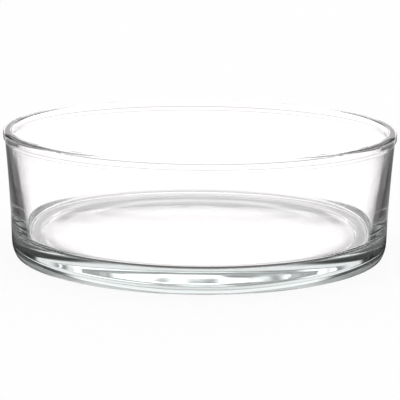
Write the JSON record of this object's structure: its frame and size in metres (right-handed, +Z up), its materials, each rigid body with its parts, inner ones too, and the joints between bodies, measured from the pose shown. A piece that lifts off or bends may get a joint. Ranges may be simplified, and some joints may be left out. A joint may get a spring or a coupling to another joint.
{
  "type": "floating candle bowl",
  "caption": "Low round bowl of clear pressed glass with a beaded rim, tapering wall, thick base and shallow recess underneath, for water and floating candles.",
  "frame": {"origin": "centre of the ring that the bowl stands on, on the surface it stands on", "axes": "+Z up along the bowl's axis; X and Y are any two level directions, because the bowl is round"},
  "size_m": [0.25, 0.25, 0.08],
  "materials": {
    "clear_glass": "clear pressed glass, fire-polished"
  },
  "bodies": {
    "root": {"glass_bowl": "clear_glass"}
  },
  "joints": []
}
